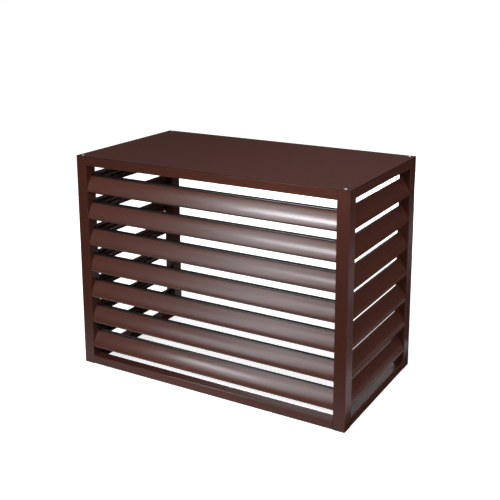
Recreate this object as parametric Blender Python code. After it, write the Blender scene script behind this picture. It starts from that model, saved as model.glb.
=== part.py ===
"""Louvred aluminium screen that stands over an outdoor air conditioner.

Four corner posts of box tube carry seven rails and three panels of curved
louvre blades: front, left and right. The back and the underside stay open, so
the screen slides over the unit. A flat sheet closes the top. Metres, +Z up,
the front looks along -Y, and the origin is the middle of the footprint.
"""
import math

import bmesh
import bpy

# Overall size
SCREEN_WIDTH = 1.100
SCREEN_DEPTH = 0.600
SCREEN_HEIGHT = 0.820

# Clearance between pieces that touch
SEAT_GAP = 0.0003

# Box tubes of the frame
POST_FACE = 0.044
POST_SIDE = 0.052
TUBE_WALL = 0.002
TUBE_CORNER = 0.0025
TUBE_BORE_SHARE = 0.3
RAIL_BACK_SET = 0.004
RAIL_FACE = 0.033
FRONT_RAIL_EDGE = 0.001

# Louvre blade, an open extruded section seen from its end
BLADE_FRONT_SET = 0.001
BLADE_REACH = 0.0285
BLADE_RISE = 0.055
BLADE_LEAN = math.radians(11)
BLADE_SWEEP = math.radians(34)
BLADE_WALL = 0.0016
LIP_LENGTH = 0.006
LIP_ANGLE = math.radians(24)
LIP_RETURN = 0.003
LIP_BEND = 0.0016
LIP_TURN = math.radians(110)
UPSTAND_BEND = 0.003
UPSTAND_LENGTH = 0.005
RIB_WALL = 0.0018
RIB_HEIGHT = 0.007
RIB_SHARES = (0.3, 0.7)

# Spacing of the blades in a panel
BLADES = 7
GAP_UNDER_BLADES = 0.0347
GAP_OVER_BLADES = 0.0347

# Top sheet and the screws that hold it
SHEET_THICKNESS = 0.002
SCREW_SHANK = 0.0042
SCREW_HEAD = 0.012
SCREW_HEAD_HEIGHT = 0.0028
SCREW_SOCKET = 0.004
SCREW_SOCKET_DEPTH = 0.0016
SCREW_REACH = 0.018
SCREW_SPOT_SHARES = (0.46, 0.27)
HOLE_CLEARANCE = 0.0004
CUT_OVERRUN = 0.002

# Insert in the top of each post
INSERT_HEIGHT = 0.024
INSERT_CHAMFER = 0.0015

# Cap in the foot of each post
CAP_FLANGE = 0.003
CAP_PLUG_HEIGHT = 0.018
CAP_PLUG_WALL = 0.002

# Facets of round forms
CORNER_STEPS = 4
BLADE_STEPS = 12
BEND_STEPS = 5
ROUND_STEPS = 20
SMOOTH_ANGLE = math.radians(30)

# Side of the body that a corner stands on: name, along X, along Y
CORNERS = (
    ("front_left", -1, -1),
    ("front_right", 1, -1),
    ("rear_left", -1, 1),
    ("rear_right", 1, 1),
)


def clear_scene():
    for item in list(bpy.data.objects):
        bpy.data.objects.remove(item, do_unlink=True)


def finish(name, color, roughness, metallic):
    """A plain material, in linear colour."""
    material = bpy.data.materials.new(name)
    material.use_nodes = True
    shader = material.node_tree.nodes["Principled BSDF"]
    shader.inputs["Base Color"].default_value = (*color, 1)
    shader.inputs["Roughness"].default_value = roughness
    shader.inputs["Metallic"].default_value = metallic
    return material


def mesh_from(name, form, smooth=True):
    """Turns a bmesh into a mesh. A smooth one keeps its sharp edges; a mesh for Booleans stays flat."""
    bmesh.ops.recalc_face_normals(form, faces=form.faces)
    mesh = bpy.data.meshes.new(name)
    form.to_mesh(mesh)
    form.free()
    if smooth:
        mesh.shade_smooth()
        mesh.set_sharp_from_angle(angle=SMOOTH_ANGLE)
    return mesh


def add_piece(name, mesh, material, place, turn=0):
    """Places a mesh as one named piece in its own copy of a material."""
    piece = bpy.data.objects.new(name, mesh)
    bpy.context.collection.objects.link(piece)
    piece.location = place
    piece.rotation_euler = (0, 0, turn)
    if not mesh.materials:
        mesh.materials.append(material)
    return piece


def rounded_rectangle(width, depth, radius):
    """Outline of a rectangle about the origin, with rounded corners."""
    points = []
    middles = ((1, 1), (-1, 1), (-1, -1), (1, -1))
    for quarter, (side_x, side_y) in enumerate(middles):
        middle_x = side_x * (width / 2 - radius)
        middle_y = side_y * (depth / 2 - radius)
        for step in range(CORNER_STEPS + 1):
            angle = math.pi / 2 * (quarter + step / CORNER_STEPS)
            points.append((middle_x + radius * math.cos(angle), middle_y + radius * math.sin(angle)))
    return points


def bore_corner(radius):
    """Corner radius inside a tube wall, never quite sharp."""
    return max(radius - TUBE_WALL, radius * TUBE_BORE_SHARE)


def skin_rings(form, rings):
    """Joins rings of equally many points with bands of faces."""
    for lower, upper in zip(rings, rings[1:]):
        for index in range(len(lower)):
            after = (index + 1) % len(lower)
            form.faces.new((lower[index], lower[after], upper[after], upper[index]))


def add_ring(form, outline, height):
    return [form.verts.new((x, y, height)) for x, y in outline]


def tube_mesh(name, width, depth, length, radius):
    """Box tube with open ends, standing on the origin along +Z."""
    outer = rounded_rectangle(width, depth, radius)
    inner = rounded_rectangle(width - 2 * TUBE_WALL, depth - 2 * TUBE_WALL, bore_corner(radius))
    form = bmesh.new()
    foot = add_ring(form, outer, 0)
    head = add_ring(form, outer, length)
    bore_head = add_ring(form, inner, length)
    bore_foot = add_ring(form, inner, 0)
    skin_rings(form, [foot, head, bore_head, bore_foot, foot])
    return mesh_from(name, form)


def rail_mesh(name, length, radius):
    """Box tube lying along X: the middle of its length is the origin, its face looks along -Y."""
    depth = rail_depth()
    mesh = tube_mesh(name, RAIL_FACE, depth, length, radius)
    for vertex in mesh.vertices:
        x, y, z = vertex.co
        vertex.co = (z - length / 2, y + depth / 2, -x + RAIL_FACE / 2)
    return mesh


def rail_depth():
    return POST_FACE - RAIL_BACK_SET


def frame_top():
    """Height of the tubes' upper end, under the sheet."""
    return SCREEN_HEIGHT - SHEET_THICKNESS - SEAT_GAP


def post_place(side_x, side_y):
    """Middle of a corner post, seen from above."""
    x = side_x * (SCREEN_WIDTH - POST_FACE) / 2
    y = side_y * (SCREEN_DEPTH - POST_SIDE) / 2
    return x, y


def front_span():
    """Length of a piece that fits between the posts along X."""
    return SCREEN_WIDTH - 2 * POST_FACE - 2 * SEAT_GAP


def side_span():
    """Length of a piece that fits between the posts along Y."""
    return SCREEN_DEPTH - 2 * POST_SIDE - 2 * SEAT_GAP


def panel_sides():
    """Each panel: name, length of its pieces, the middle of its face, and its turn about Z."""
    return (
        ("front", front_span(), (0, -SCREEN_DEPTH / 2), 0),
        ("left", side_span(), (-SCREEN_WIDTH / 2, 0), -math.pi / 2),
        ("right", side_span(), (SCREEN_WIDTH / 2, 0), math.pi / 2),
    )


def build_posts(material):
    start = CAP_FLANGE + SEAT_GAP
    mesh = tube_mesh("post", POST_FACE, POST_SIDE, frame_top() - start, TUBE_CORNER)
    for name, side_x, side_y in CORNERS:
        add_piece(f"{name}_post", mesh, material, (*post_place(side_x, side_y), start))


def build_rails(material):
    """Rails of the three panels, and the one that carries the sheet across the back."""
    top = frame_top() - RAIL_FACE
    for name, length, (x, y), turn in panel_sides():
        edge = FRONT_RAIL_EDGE if name == "front" else TUBE_CORNER
        upper = rail_mesh(f"{name}_top_rail", length, edge)
        add_piece(f"{name}_top_rail", upper, material, (x, y, top), turn)
        lower = rail_mesh(f"{name}_bottom_rail", length, TUBE_CORNER)
        add_piece(f"{name}_bottom_rail", lower, material, (x, y, 0), turn)
    rear = rail_mesh("rear_top_rail", front_span(), TUBE_CORNER)
    add_piece("rear_top_rail", rear, material, (0, SCREEN_DEPTH / 2, top), math.pi)


def turned(point, heading, radius, angle):
    """Points of an arc that leaves a point along a heading and turns left by an angle."""
    side = math.copysign(1, angle)
    middle_x = point[0] - side * radius * math.sin(heading)
    middle_z = point[1] + side * radius * math.cos(heading)
    points = []
    for step in range(1, BEND_STEPS + 1):
        now = heading + angle * step / BEND_STEPS
        points.append((middle_x + side * radius * math.sin(now), middle_z - side * radius * math.cos(now)))
    return points


def run_on(point, heading, length):
    return (point[0] + length * math.cos(heading), point[1] + length * math.sin(heading))


def blade_face_point(share):
    """A point on the outer face of a blade, with its heading, from the nose up to the upstand."""
    low, high = BLADE_LEAN, BLADE_LEAN + BLADE_SWEEP
    reach = BLADE_REACH / (math.cos(low) - math.cos(high))
    rise = BLADE_RISE / (math.sin(high) - math.sin(low))
    angle = low + BLADE_SWEEP * share
    depth = BLADE_FRONT_SET + reach * (math.cos(low) - math.cos(angle))
    point = (depth, rise * (math.sin(angle) - math.sin(low)))
    heading = math.atan2(rise * math.cos(angle), reach * math.sin(angle))
    return point, heading


def blade_path():
    """Outer side of the blade's section: turned lip, convex face and upstand."""
    path = []
    nose = blade_face_point(0)[0]
    down = -math.pi / 2 + LIP_ANGLE
    lip_end = run_on(nose, down, LIP_LENGTH)
    lip_arc = turned(lip_end, down, LIP_BEND, LIP_TURN)
    path.append(run_on(lip_arc[-1], down + LIP_TURN, LIP_RETURN))
    path += reversed(lip_arc)
    path.append(lip_end)
    for step in range(BLADE_STEPS + 1):
        path.append(blade_face_point(step / BLADE_STEPS)[0])
    head, heading = blade_face_point(1)
    path += turned(head, heading, UPSTAND_BEND, math.pi / 2 - heading)
    path.append(run_on(path[-1], math.pi / 2, UPSTAND_LENGTH))
    return path


def inner_side(path):
    """The path moved inward by the blade's wall, with mitred corners."""
    inner = []
    for index, (x, z) in enumerate(path):
        before = path[max(index - 1, 0)]
        after = path[min(index + 1, len(path) - 1)]
        first = direction(before, (x, z)) if index else direction((x, z), after)
        second = direction((x, z), after) if index < len(path) - 1 else first
        normal_x = first[1] + second[1]
        normal_z = -first[0] - second[0]
        mitre = 2 * BLADE_WALL / (normal_x ** 2 + normal_z ** 2)
        inner.append((x + normal_x * mitre, z + normal_z * mitre))
    return inner


def direction(start, end):
    length = math.dist(start, end)
    return (end[0] - start[0]) / length, (end[1] - start[1]) / length


def rib_points(share):
    """Outline of a stiffening rib on the blade's inner side, from its upper root to its lower root."""
    (x, z), heading = blade_face_point(share)
    along = (math.cos(heading), math.sin(heading))
    inward = (math.sin(heading), -math.cos(heading))
    points = []
    for side, depth in ((1, 0), (1, RIB_HEIGHT), (-1, RIB_HEIGHT), (-1, 0)):
        across = side * RIB_WALL / 2
        deep = BLADE_WALL + depth
        points.append((x + along[0] * across + inward[0] * deep, z + along[1] * across + inward[1] * deep))
    return points


def blade_section():
    """Closed outline of the blade: depth behind the panel's face, and height over the nose."""
    path = blade_path()
    inner = inner_side(path)
    face_start = BEND_STEPS + 2
    section = list(path)
    section += reversed(inner[face_start + BLADE_STEPS + 1:])
    for step in range(BLADE_STEPS, 0, -1):
        section.append(inner[face_start + step])
        for share in RIB_SHARES:
            if step - 1 < share * BLADE_STEPS < step:
                section += rib_points(share)
    section += reversed(inner[:face_start + 1])
    return section


def blade_mesh(name, length, section):
    """The blade's section drawn out along X about the origin."""
    form = bmesh.new()
    start = [form.verts.new((-length / 2, depth, height)) for depth, height in section]
    face = form.faces.new(start)
    drawn = bmesh.ops.extrude_face_region(form, geom=[face])
    moved = [item for item in drawn["geom"] if isinstance(item, bmesh.types.BMVert)]
    bmesh.ops.translate(form, verts=moved, vec=(length, 0, 0))
    return mesh_from(name, form)


def build_blades(material):
    """Seven blades in each panel, spread evenly between its rails."""
    section = blade_section()
    foot = min(height for _, height in section)
    head = max(height for _, height in section)
    lowest = RAIL_FACE + GAP_UNDER_BLADES - foot
    highest = frame_top() - RAIL_FACE - GAP_OVER_BLADES - head
    for name, length, (x, y), turn in panel_sides():
        mesh = blade_mesh(f"{name}_blade", length, section)
        for row in range(BLADES):
            nose = lowest + (highest - lowest) * row / (BLADES - 1)
            add_piece(f"{name}_blade_{row + 1}", mesh, material, (x, y, nose), turn)


def screw_spot(side_x, side_y):
    """Place of a corner's screw, inside the post and near its outer corner."""
    x = side_x * (SCREEN_WIDTH / 2 - POST_FACE * SCREW_SPOT_SHARES[0])
    y = side_y * (SCREEN_DEPTH / 2 - POST_SIDE * SCREW_SPOT_SHARES[1])
    return x, y


def disc_ring(form, radius, height):
    ring = []
    for step in range(ROUND_STEPS):
        angle = math.tau * step / ROUND_STEPS
        ring.append(form.verts.new((radius * math.cos(angle), radius * math.sin(angle), height)))
    return ring


def turned_mesh(name, profile, smooth=True):
    """Solid of revolution about Z, closed by a flat disc at each end of its profile."""
    form = bmesh.new()
    rings = [disc_ring(form, radius, height) for radius, height in profile]
    skin_rings(form, rings)
    form.faces.new(rings[0])
    form.faces.new(reversed(rings[-1]))
    return mesh_from(name, form, smooth)


def cut(piece, mesh, spots):
    """Cuts one mesh out of a piece at each spot."""
    for number, spot in enumerate(spots, start=1):
        cutter = bpy.data.objects.new(f"{piece.name}_cutter_{number}", mesh)
        bpy.context.collection.objects.link(cutter)
        cutter.location = spot
        cutter.hide_render = True
        cutter.display_type = "WIRE"
        step = piece.modifiers.new(f"hole_{number}", "BOOLEAN")
        step.operation = "DIFFERENCE"
        step.solver = "EXACT"
        step.object = cutter


def hole_mesh(name, length):
    """Cutter for a screw hole: it starts an overrun below the origin and ends one past its length."""
    radius = SCREW_SHANK / 2 + HOLE_CLEARANCE
    profile = [(radius, -CUT_OVERRUN), (radius, length + CUT_OVERRUN)]
    return turned_mesh(name, profile, smooth=False)


def plate_mesh(name, width, depth, thickness, radius):
    outline = rounded_rectangle(width, depth, radius)
    form = bmesh.new()
    lower = add_ring(form, outline, 0)
    upper = add_ring(form, outline, thickness)
    skin_rings(form, [lower, upper])
    form.faces.new(reversed(lower))
    form.faces.new(upper)
    return mesh_from(name, form, smooth=False)


def build_sheet(material):
    """Flat sheet over the whole frame, with a hole over each post."""
    under = SCREEN_HEIGHT - SHEET_THICKNESS
    mesh = plate_mesh("top_sheet", SCREEN_WIDTH, SCREEN_DEPTH, SHEET_THICKNESS, TUBE_CORNER)
    sheet = add_piece("top_sheet", mesh, material, (0, 0, under))
    spots = [(*screw_spot(side_x, side_y), under) for _, side_x, side_y in CORNERS]
    cut(sheet, hole_mesh("sheet_hole", SHEET_THICKNESS), spots)


def build_screws(material):
    """Domed screws through the sheet into the inserts, with a round socket."""
    shank = SCREW_SHANK / 2
    head = SCREW_HEAD / 2
    socket = SCREW_SOCKET / 2
    profile = [(shank, -SHEET_THICKNESS - SCREW_REACH), (shank, SEAT_GAP)]
    dome_steps = BEND_STEPS
    for step in range(dome_steps + 1):
        angle = math.pi / 2 * step / dome_steps
        radius = socket + (head - socket) * math.cos(angle)
        profile.append((radius, SEAT_GAP + SCREW_HEAD_HEIGHT * math.sin(angle)))
    profile.append((socket, SEAT_GAP + SCREW_HEAD_HEIGHT - SCREW_SOCKET_DEPTH))
    mesh = turned_mesh("top_screw", profile)
    for name, side_x, side_y in CORNERS:
        add_piece(f"{name}_top_screw", mesh, material, (*screw_spot(side_x, side_y), SCREEN_HEIGHT))


def build_inserts(material):
    """Blocks in the tops of the posts that the sheet's screws bite into."""
    gap = 2 * TUBE_WALL + 2 * SEAT_GAP
    corner = bore_corner(TUBE_CORNER)
    outline = rounded_rectangle(POST_FACE - gap, POST_SIDE - gap, corner)
    shrink = gap + 2 * INSERT_CHAMFER
    tip = rounded_rectangle(POST_FACE - shrink, POST_SIDE - shrink, corner)
    hole = hole_mesh("insert_hole", INSERT_HEIGHT)
    start = frame_top() - INSERT_HEIGHT
    for name, side_x, side_y in CORNERS:
        form = bmesh.new()
        foot = add_ring(form, tip, 0)
        rings = [foot, add_ring(form, outline, INSERT_CHAMFER), add_ring(form, outline, INSERT_HEIGHT)]
        skin_rings(form, rings)
        form.faces.new(reversed(foot))
        form.faces.new(rings[-1])
        mesh = mesh_from(f"{name}_post_insert", form, smooth=False)
        insert = add_piece(f"{name}_post_insert", mesh, material, (*post_place(side_x, side_y), start))
        cut(insert, hole, [(*screw_spot(side_x, side_y), start)])


def build_caps(material):
    """Moulded caps in the feet of the posts: a flange under the tube and a hollow plug inside it."""
    gap = 2 * TUBE_WALL + 2 * SEAT_GAP
    corner = bore_corner(TUBE_CORNER)
    flange = rounded_rectangle(POST_FACE, POST_SIDE, TUBE_CORNER)
    plug = rounded_rectangle(POST_FACE - gap, POST_SIDE - gap, corner)
    bore_gap = gap + 2 * CAP_PLUG_WALL
    bore = rounded_rectangle(POST_FACE - bore_gap, POST_SIDE - bore_gap, corner)
    form = bmesh.new()
    floor = add_ring(form, flange, 0)
    ledge = add_ring(form, flange, CAP_FLANGE)
    root = add_ring(form, plug, CAP_FLANGE)
    rim = add_ring(form, plug, CAP_FLANGE + CAP_PLUG_HEIGHT)
    bore_rim = add_ring(form, bore, CAP_FLANGE + CAP_PLUG_HEIGHT)
    bore_floor = add_ring(form, bore, CAP_FLANGE)
    skin_rings(form, [floor, ledge, root, rim, bore_rim, bore_floor])
    form.faces.new(reversed(floor))
    form.faces.new(bore_floor)
    mesh = mesh_from("foot_cap", form)
    for name, side_x, side_y in CORNERS:
        add_piece(f"{name}_foot_cap", mesh, material, (*post_place(side_x, side_y), 0))


def main():
    clear_scene()
    coat = finish("brown_powder_coat", (0.075, 0.031, 0.023), 0.38, 0)
    build_posts(coat)
    build_rails(coat)
    build_blades(coat)
    build_sheet(coat)
    build_screws(finish("plated_steel", (0.62, 0.6, 0.58), 0.3, 1))
    build_inserts(finish("raw_aluminium", (0.55, 0.56, 0.58), 0.45, 1))
    build_caps(finish("brown_plastic", (0.055, 0.026, 0.02), 0.6, 0))


main()
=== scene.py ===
"""Looks of the air conditioner screen: its finishes, a soft studio and the camera."""

import math

import bpy
from mathutils import Euler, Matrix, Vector

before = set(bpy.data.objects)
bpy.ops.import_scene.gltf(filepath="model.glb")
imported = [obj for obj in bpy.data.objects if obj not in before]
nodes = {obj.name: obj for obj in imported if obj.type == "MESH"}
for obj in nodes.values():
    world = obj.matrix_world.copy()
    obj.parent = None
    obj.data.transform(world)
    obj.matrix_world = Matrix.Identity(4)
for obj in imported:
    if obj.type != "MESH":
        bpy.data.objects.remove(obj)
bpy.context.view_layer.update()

# The camera, worked out from the edges of the tubes and blades in the photograph: metres,
# degrees, and millimetres for the lens and the sensor.
CAMERA_PLACE = (1.589, -2.7035, 1.4773)
CAMERA_TURN = (77.5476, 0.145, 30.1022)
CAMERA_LENS = 62.648
CAMERA_SENSOR = 36.0
CAMERA_SHIFT = (0.0, -0.17)
CAMERA_CLIP = (0.05, 60.0)

CENTRE = Vector((0.0, 0.0, 0.41))

# Noise patterns: scale per metre, detail and roughness.
CLOUD = (3.0, 1.0, 0.5)
GRAIN = (45.0, 1.0, 0.5)
SHEEN = (9.0, 1.0, 0.5)
ORANGE_PEEL = (150.0, 1.0, 0.5)
METAL_TONE = (90.0, 4.0, 0.6)
METAL_SHEEN = (400.0, 3.0, 0.5)
METAL_MARKS = (1500.0, 2.0, 0.5)
SCUFFS = (60.0, 5.0, 0.7)
PLASTIC_SHEEN = (90.0, 3.0, 0.5)
SPARK_TEXTURE = (1200.0, 2.0, 0.5)

# The part of a noise pattern that is spread over a finish: all of it, its middle, or its peaks.
ALL = (0.0, 1.0)
MIDDLE = (0.3, 0.7)
PEAKS = (0.5, 0.8)

# Relief: depth in metres and strength.
PEEL_RELIEF = (0.0004, 0.02)
FINE_DEPTH = 0.0001
SPARK_RELIEF = (FINE_DEPTH, 0.25)

# Powder coat: how much of the light tone the grain shows, and how strongly it bends light.
GRAIN_SHARE = 0.3
COAT_IOR = 1.5

# Metal: how dark its patches are, and the least and greatest share of its roughness. Plastic:
# its least and greatest roughness.
METAL_DARK = 0.72
METAL_ROUGHNESS = (0.8, 1.3)
PLASTIC_ROUGHNESS = (0.5, 0.7)

# Heights in metres of the thin lines of painted shade. Those of the blades repeat with the blades'
# pitch, from the lip of the lowest one, and paint shade on its turned lip and its upstand; that of
# the top sheet paints shade along the lower half of its edge, where it sits on the rails.
LOWEST_LIP = 0.0677
BLADE_PITCH = 0.102297
LIP_SHADE = (0.0032, 0.0048)
UPSTAND_SHADE = (0.0580, 0.0610)
SHEET_EDGE_SHADE = (0.8190, 0.8196)
# The painted shade: near-black, with its own roughness.
SHADE_COLOUR = (0.003, 0.002, 0.002)
SHADE_ROUGHNESS = 0.25

# The room's light: low at the sides, stronger overhead. The coat mirrors only a part of the white.
SKY_COLOUR = (1.0, 0.975, 0.975, 1.0)
SKY_RISE = (0.1, 1.0)
SKY_STRENGTH = (0.015, 0.1)
WHITE = (1.0, 1.0, 1.0, 1.0)
MIRRORED_WHITE = 0.02

# The floor that the coat mirrors and that throws light back, painted with light and shadow: a pool
# of painted light in a box round the screen, dark beyond its faded border. The further fields of
# painted light and painted shadow are middle x, half x, middle y and half y; the painted shadow
# lies under the screen, along its right side and behind it on the right.
FLOOR_HALF = 14.0
PALE_CENTRE = (-0.02, 0.1, 0.0)
PALE_HALF = (0.76, 0.4, 1.0)
PALE_BORDER = (0.0, 0.45)
PAINTED_LIGHT_FIELDS = ((1.14, 0.16, 1.65, 0.9),)
PAINTED_SHADOW_FIELDS = (
    (0.575, 0.025, 0.0, 14.0),
    (0.0, 0.53, 0.0, 0.28),
    (0.82, 0.08, 0.5, 0.4),
    (0.67, 0.07, 0.85, 0.35),
)
FLOOR_NEAR = (0.62, 0.61, 0.66, 1.0)
FLOOR_FAR = (0.03, 0.028, 0.028, 1.0)

# The floor that the camera sees: pale, and white further from the screen.
FLOOR_SEEN = (0.75, 0.75, 0.75, 1.0)
GLOW_BORDER = (0.0, 0.9)
GLOW_STRENGTH = (0.72, 1.0)

# The soft boxes: name, place, aim, size, power in watts, spread in degrees and colour. The four
# cool ones are those that the front blades mirror.
COOL = (0.94, 0.98, 1.04)
NEUTRAL = (1.0, 0.97, 0.99)
SOFT_BOXES = (
    ("near_box", (-0.15, -1.5, 1.5), (0.4, -0.3, 1.3), (0.7, 0.6), 4.2, 46.0, COOL),
    ("low_box", (-0.55, -1.3, 0.45), (0.0, -0.3, -0.35), (0.35, 0.5), 0.5, 30.0, COOL),
    ("mid_box", (-0.75, -1.6, 2.1), (0.3, -0.3, 0.5), (0.6, 1.0), 1.1, 90.0, COOL),
    ("tall_box", (-2.0, -4.5, 2.2), (-0.6, 0.0, 0.7), (0.8, 2.8), 32.0, 180.0, COOL),
    ("front_box", (0.4, -4.2, 3.0), CENTRE, (1.5, 1.5), 192.0, 180.0, NEUTRAL),
    ("left_box", (-3.2, 0.5, 0.8), (-0.5, 0.0, 0.4), (1.0, 0.8), 6.0, 80.0, NEUTRAL),
    ("side_box", (3.0, -0.4, 0.9), (0.55, 0.0, 0.6), (1.0, 1.0), 6.0, 60.0, NEUTRAL),
    ("top_box", (0.2, 0.6, 3.4), CENTRE, (2.0, 2.0), 32.0, 180.0, NEUTRAL),
    ("back_box", (-1.2, 3.2, 0.5), (0.0, 0.3, 0.4), (1.2, 0.4), 55.0, 180.0, NEUTRAL),
)


class Graph:
    """A node tree, with short ways to add nodes and to join them."""

    def __init__(self, owner):
        owner.use_nodes = True
        self.tree = owner.node_tree

    def add(self, kind, **settings):
        """A new node."""
        node = self.tree.nodes.new(kind)
        for name, value in settings.items():
            setattr(node, name, value)
        return node

    def feed(self, socket, value):
        """Joins another node's output to a socket, or sets the socket to a plain value."""
        if isinstance(value, bpy.types.NodeSocket):
            self.tree.links.new(value, socket)
        else:
            socket.default_value = value

    def where(self):
        """The place on the object, in metres."""
        return self.add("ShaderNodeTexCoord").outputs["Object"]

    def axes(self, vector):
        """The three parts of a vector, by the names X, Y and Z."""
        parts = self.add("ShaderNodeSeparateXYZ")
        self.feed(parts.inputs[0], vector)
        return parts.outputs

    def calc(self, operation, *values, clamp=False):
        """The result of a sum with numbers or outputs."""
        node = self.add("ShaderNodeMath", operation=operation, use_clamp=clamp)
        for socket, value in zip(node.inputs, values):
            self.feed(socket, value)
        return node.outputs[0]

    def calc_vector(self, operation, *values):
        """The outputs of a sum with vectors."""
        node = self.add("ShaderNodeVectorMath", operation=operation)
        for socket, value in zip(node.inputs, values):
            self.feed(socket, value)
        return node.outputs

    def noise(self, place, pattern):
        """A noise pattern over the object."""
        node = self.add("ShaderNodeTexNoise")
        for name, number in zip(("Scale", "Detail", "Roughness"), pattern):
            self.feed(node.inputs[name], number)
        self.feed(node.inputs["Vector"], place)
        return node.outputs["Fac"]

    def spread(self, value, source, target, shape="LINEAR"):
        """A value spread from one range over another, and held at its ends."""
        node = self.add("ShaderNodeMapRange", interpolation_type=shape)
        names = ("From Min", "From Max", "To Min", "To Max")
        for name, number in zip(names, (*source, *target)):
            self.feed(node.inputs[name], number)
        self.feed(node.inputs["Value"], value)
        return node.outputs["Result"]

    def mix_numbers(self, amount, first, second):
        """Two numbers mixed by an amount."""
        node = self.add("ShaderNodeMix", data_type="FLOAT")
        for index, value in ((0, amount), (2, first), (3, second)):
            self.feed(node.inputs[index], value)
        return node.outputs[0]

    def mix_colours(self, amount, first, second):
        """Two colours mixed by an amount."""
        node = self.add("ShaderNodeMix", data_type="RGBA")
        for index, value in ((0, amount), (6, first), (7, second)):
            self.feed(node.inputs[index], value)
        return node.outputs[2]

    def relief(self, height, depth, strength):
        """Fine relief from a pattern."""
        node = self.add("ShaderNodeBump")
        for name, value in (("Distance", depth), ("Strength", strength), ("Height", height)):
            self.feed(node.inputs[name], value)
        return node.outputs["Normal"]


def opaque(colour):
    """A linear colour with its alpha."""
    return (*colour, 1.0)


def finish(name, values_of):
    """A material whose shader takes the values that values_of gives for a graph and a place."""
    mat = bpy.data.materials.new(name)
    graph = Graph(mat)
    shader = graph.tree.nodes["Principled BSDF"]
    for socket, value in values_of(graph, graph.where()).items():
        graph.feed(shader.inputs[socket], value)
    return mat


def blade_shade_lines(graph, place):
    """1 where shade is painted on the turned lip and the upstand of every louvre blade, 0 on its
    face.
    """
    above = graph.calc("SUBTRACT", graph.axes(place)["Z"], LOWEST_LIP)
    height = graph.calc("MODULO", above, BLADE_PITCH)
    lip = graph.spread(height, LIP_SHADE, (1.0, 0.0))
    upstand = graph.spread(height, UPSTAND_SHADE, (0.0, 1.0))
    return graph.calc("MAXIMUM", lip, upstand)


def sheet_edge_shade(graph, place):
    """1 where shade is painted on the lower half of the top sheet's edge, 0 above it."""
    return graph.spread(graph.axes(place)["Z"], SHEET_EDGE_SHADE, (1.0, 0.0))


def powder_coat(name, base, deep, light, roughness, level, painted_shade=None):
    """Satin powder coat: fine orange peel, a faint cloudiness, small differences in gloss and,
    where a mask is given, a near-black line of painted shade.
    """

    def values_of(graph, place):
        cloud = graph.spread(graph.noise(place, CLOUD), ALL, ALL)
        grain = graph.spread(graph.noise(place, GRAIN), ALL, (0.0, GRAIN_SHARE))
        colour = graph.mix_colours(cloud, opaque(deep), opaque(base))
        colour = graph.mix_colours(grain, colour, opaque(light))
        gloss = graph.spread(graph.noise(place, SHEEN), ALL, roughness)
        # Painted shade: the coat turns near-black where the mask is 1.
        if painted_shade is not None:
            line = painted_shade(graph, place)
            colour = graph.mix_colours(line, colour, opaque(SHADE_COLOUR))
            gloss = graph.mix_numbers(line, gloss, SHADE_ROUGHNESS)
        return {
            "Base Color": colour,
            "Roughness": gloss,
            "IOR": COAT_IOR,
            "Specular IOR Level": level,
            "Normal": graph.relief(graph.noise(place, ORANGE_PEEL), *PEEL_RELIEF),
        }

    return finish(name, values_of)


def bare_metal(name, colour, roughness, scratch):
    """Plain metal with fine marks and uneven shine."""

    def values_of(graph, place):
        tone = graph.spread(graph.noise(place, METAL_TONE), MIDDLE, ALL)
        darker = tuple(part * METAL_DARK for part in colour)
        span = tuple(roughness * share for share in METAL_ROUGHNESS)
        return {
            "Base Color": graph.mix_colours(tone, opaque(darker), opaque(colour)),
            "Roughness": graph.spread(graph.noise(place, METAL_SHEEN), MIDDLE, span),
            "Metallic": 1.0,
            "Normal": graph.relief(graph.noise(place, METAL_MARKS), FINE_DEPTH, scratch),
        }

    return finish(name, values_of)


def moulded_plastic(name, colour, light):
    """Moulded plastic with a fine spark texture and scuffs."""

    def values_of(graph, place):
        scuff = graph.spread(graph.noise(place, SCUFFS), PEAKS, ALL)
        sheen = graph.noise(place, PLASTIC_SHEEN)
        return {
            "Base Color": graph.mix_colours(scuff, opaque(colour), opaque(light)),
            "Roughness": graph.spread(sheen, MIDDLE, PLASTIC_ROUGHNESS),
            "Normal": graph.relief(graph.noise(place, SPARK_TEXTURE), *SPARK_RELIEF),
        }

    return finish(name, values_of)


COAT = powder_coat(
    "coat",
    base=(0.061, 0.0192, 0.0118),
    deep=(0.057, 0.0177, 0.0108),
    light=(0.066, 0.0215, 0.0138),
    roughness=(0.24, 0.25),
    level=0.5,
)
TOP_COAT = powder_coat(
    "top_coat",
    base=(0.061, 0.0200, 0.0140),
    deep=(0.056, 0.0182, 0.0126),
    light=(0.067, 0.0230, 0.0165),
    roughness=(0.54, 0.57),
    level=0.25,
    # painted shade along the lower half of the sheet's edge
    painted_shade=sheet_edge_shade,
)
# Painted light: the blades have the same paint as the posts, but the front blades' coat is a
# lighter copy of it and the side blades' coat a copy between the two, set to how bright each looks
# in its light.
BLADE_COAT = powder_coat(
    "blade_coat",
    base=(0.076, 0.0212, 0.0114),
    deep=(0.071, 0.0196, 0.0105),
    light=(0.082, 0.0236, 0.0133),
    roughness=(0.25, 0.27),
    level=1.0,
    # painted shade on the blades' lips and upstands
    painted_shade=blade_shade_lines,
)
SIDE_COAT = powder_coat(
    "side_coat",
    base=(0.068, 0.0208, 0.0125),
    deep=(0.063, 0.0192, 0.0115),
    light=(0.074, 0.0232, 0.0145),
    roughness=(0.25, 0.26),
    level=0.6,
)
STEEL = bare_metal("zinc_steel", (0.60, 0.61, 0.62), roughness=0.32, scratch=0.1)
ALUMINIUM = bare_metal("mill_aluminium", (0.70, 0.71, 0.72), roughness=0.38, scratch=0.15)
PLASTIC = moulded_plastic("black_plastic", (0.014, 0.013, 0.013), (0.035, 0.034, 0.033))

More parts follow.
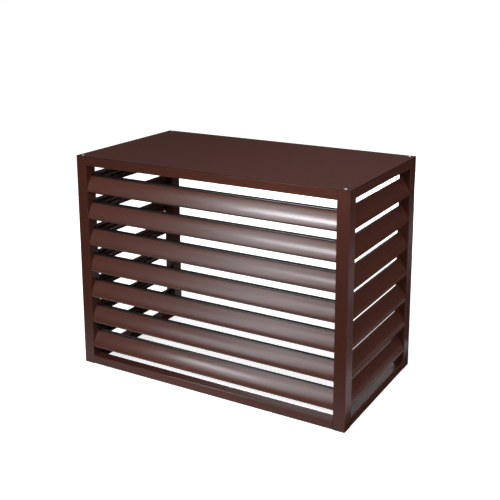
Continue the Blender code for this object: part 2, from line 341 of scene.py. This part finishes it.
# What a solid's name holds, and its finish. Posts and rails have the plain coat.
FINISHES = (
    ("top_sheet", TOP_COAT),
    ("front_blade", BLADE_COAT),
    ("_blade_", SIDE_COAT),
    ("top_screw", STEEL),
    ("post_insert", ALUMINIUM),
    ("foot_cap", PLASTIC),
)


def dress():
    """Gives every solid its finish."""
    for name, obj in nodes.items():
        found = (mat for part, mat in FINISHES if part in name)
        obj.data.materials.clear()
        obj.data.materials.append(next(found, COAT))


def distance_from_pale(graph, place):
    """How far a place on the floor is outside the pale box of painted light, in metres."""
    offset = graph.calc_vector("SUBTRACT", place, PALE_CENTRE)["Vector"]
    offset = graph.calc_vector("ABSOLUTE", offset)["Vector"]
    past_edge = graph.calc_vector("SUBTRACT", offset, PALE_HALF)["Vector"]
    past_edge = graph.calc_vector("MAXIMUM", past_edge, (0.0, 0.0, 0.0))["Vector"]
    return graph.calc_vector("LENGTH", past_edge)["Value"]


def inside(graph, axes, field):
    """1 inside a field of the floor, 0 outside it."""
    middle_x, half_x, middle_y, half_y = field
    return graph.calc(
        "MULTIPLY",
        graph.calc("COMPARE", axes["X"], middle_x, half_x),
        graph.calc("COMPARE", axes["Y"], middle_y, half_y),
    )


def floor_colour(graph, place, distance):
    """The colour of the floor that the coat mirrors, with painted light and painted shadow."""
    axes = graph.axes(place)
    dark = graph.spread(distance, PALE_BORDER, ALL, "SMOOTHSTEP")
    # Painted light lifts the pale fields; painted shadow darkens the dark ones.
    for operation, fields in (("SUBTRACT", PAINTED_LIGHT_FIELDS), ("MAXIMUM", PAINTED_SHADOW_FIELDS)):
        for field in fields:
            dark = graph.calc(operation, dark, inside(graph, axes, field), clamp=True)
    return graph.mix_colours(dark, FLOOR_NEAR, FLOOR_FAR)


def floor_material():
    """The floor: pale with a glow that makes it white for the camera, and painted with light and
    shadow for mirrors and bounced light.
    """
    mat = bpy.data.materials.new("floor")
    graph = Graph(mat)
    graph.tree.nodes.clear()
    seen = graph.add("ShaderNodeLightPath").outputs["Is Camera Ray"]
    place = graph.where()
    distance = distance_from_pale(graph, place)
    mirrored = floor_colour(graph, place, distance)
    diffuse = graph.add("ShaderNodeBsdfDiffuse")
    graph.feed(diffuse.inputs["Color"], graph.mix_colours(seen, mirrored, FLOOR_SEEN))
    white = graph.spread(distance, GLOW_BORDER, GLOW_STRENGTH, "SMOOTHSTEP")
    glow = graph.add("ShaderNodeEmission")
    graph.feed(glow.inputs["Strength"], graph.calc("MULTIPLY", seen, white))
    both = graph.add("ShaderNodeAddShader")
    graph.feed(both.inputs[0], diffuse.outputs[0])
    graph.feed(both.inputs[1], glow.outputs[0])
    out = graph.add("ShaderNodeOutputMaterial")
    graph.feed(out.inputs["Surface"], both.outputs[0])
    return mat


def make_floor():
    """A wide flat floor that keeps the screen's shadow."""
    half = FLOOR_HALF
    corners = [(-half, -half, 0.0), (half, -half, 0.0), (half, half, 0.0), (-half, half, 0.0)]
    mesh = bpy.data.meshes.new("floor")
    mesh.from_pydata(corners, [], [(0, 1, 2, 3)])
    mesh.materials.append(floor_material())
    floor = bpy.data.objects.new("floor", mesh)
    bpy.context.scene.collection.objects.link(floor)


def make_world():
    """A soft sky, brighter overhead, and white where the camera looks past the floor."""
    world = bpy.data.worlds.new("studio")
    bpy.context.scene.world = world
    graph = Graph(world)
    graph.tree.nodes.clear()

    height = graph.axes(graph.add("ShaderNodeTexCoord").outputs["Generated"])["Z"]
    sky = graph.add("ShaderNodeBackground")
    graph.feed(sky.inputs["Color"], SKY_COLOUR)
    strength = graph.spread(height, SKY_RISE, SKY_STRENGTH, "SMOOTHSTEP")
    graph.feed(sky.inputs["Strength"], strength)
    white = graph.add("ShaderNodeBackground")
    graph.feed(white.inputs["Color"], WHITE)
    graph.feed(white.inputs["Strength"], 1.0)

    ray = graph.add("ShaderNodeLightPath").outputs
    mirrored = graph.calc("MULTIPLY", ray["Is Glossy Ray"], MIRRORED_WHITE)
    seen = graph.calc("MAXIMUM", ray["Is Camera Ray"], ray["Is Transmission Ray"])
    mix = graph.add("ShaderNodeMixShader")
    graph.feed(mix.inputs["Fac"], graph.calc("MAXIMUM", mirrored, seen))
    graph.feed(mix.inputs[1], sky.outputs[0])
    graph.feed(mix.inputs[2], white.outputs[0])
    out = graph.add("ShaderNodeOutputWorld")
    graph.feed(out.inputs["Surface"], mix.outputs[0])


def soft_box(name, place, aim, size, power, spread_angle, colour):
    """A soft box, out of the camera's sight, that shines from place towards aim."""
    data = bpy.data.lights.new(name, "AREA")
    data.shape = "RECTANGLE"
    data.size, data.size_y = size
    data.energy = power
    data.spread = math.radians(spread_angle)
    data.color = colour
    obj = bpy.data.objects.new(name, data)
    obj.location = place
    obj.rotation_mode = "QUATERNION"
    obj.rotation_quaternion = (Vector(aim) - Vector(place)).to_track_quat("-Z", "Y")
    obj.visible_camera = False
    bpy.context.scene.collection.objects.link(obj)


def make_camera():
    """The photograph's camera."""
    data = bpy.data.cameras.new("camera")
    data.sensor_width = CAMERA_SENSOR
    data.lens = CAMERA_LENS
    data.shift_x, data.shift_y = CAMERA_SHIFT
    data.clip_start, data.clip_end = CAMERA_CLIP
    obj = bpy.data.objects.new("camera", data)
    obj.location = CAMERA_PLACE
    obj.rotation_euler = Euler([math.radians(angle) for angle in CAMERA_TURN], "XYZ")
    bpy.context.scene.collection.objects.link(obj)
    bpy.context.scene.camera = obj


dress()
make_floor()
make_world()
for box in SOFT_BOXES:
    soft_box(*box)
make_camera()
bpy.context.scene.view_settings.view_transform = "Standard"
